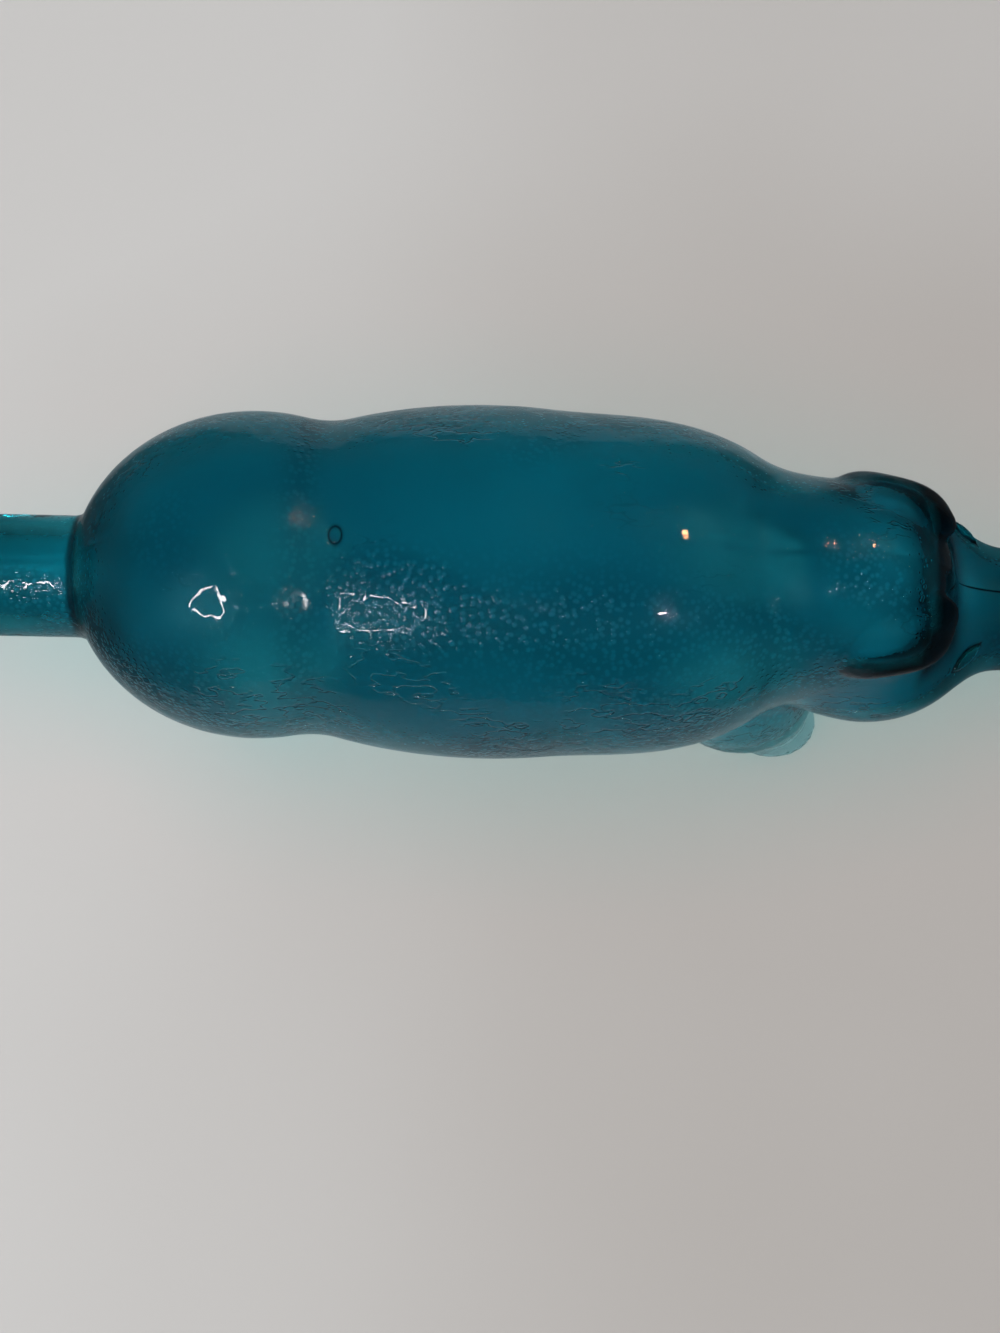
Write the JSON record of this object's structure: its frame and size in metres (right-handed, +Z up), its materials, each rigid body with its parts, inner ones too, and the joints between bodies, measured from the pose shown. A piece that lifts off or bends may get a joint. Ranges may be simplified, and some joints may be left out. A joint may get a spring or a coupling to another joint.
{
  "type": "bitters bottle",
  "caption": "Hollow blown glass bottle in the shape of a standing pig, with a round neck and collar at the rump and flat soles under the feet.",
  "frame": {"origin": "on the surface that the soles stand on, under the middle of the bottle's box", "axes": "+X along the body from the mouth to the snout, +Z up, so that +Y is the pig's left side"},
  "size_m": [0.259, 0.0758, 0.0885],
  "materials": {
    "teal_glass": "gloss, with the fine ripples of a hand-blown bottle"
  },
  "bodies": {
    "root": {"bottle": "teal_glass"}
  },
  "joints": []
}
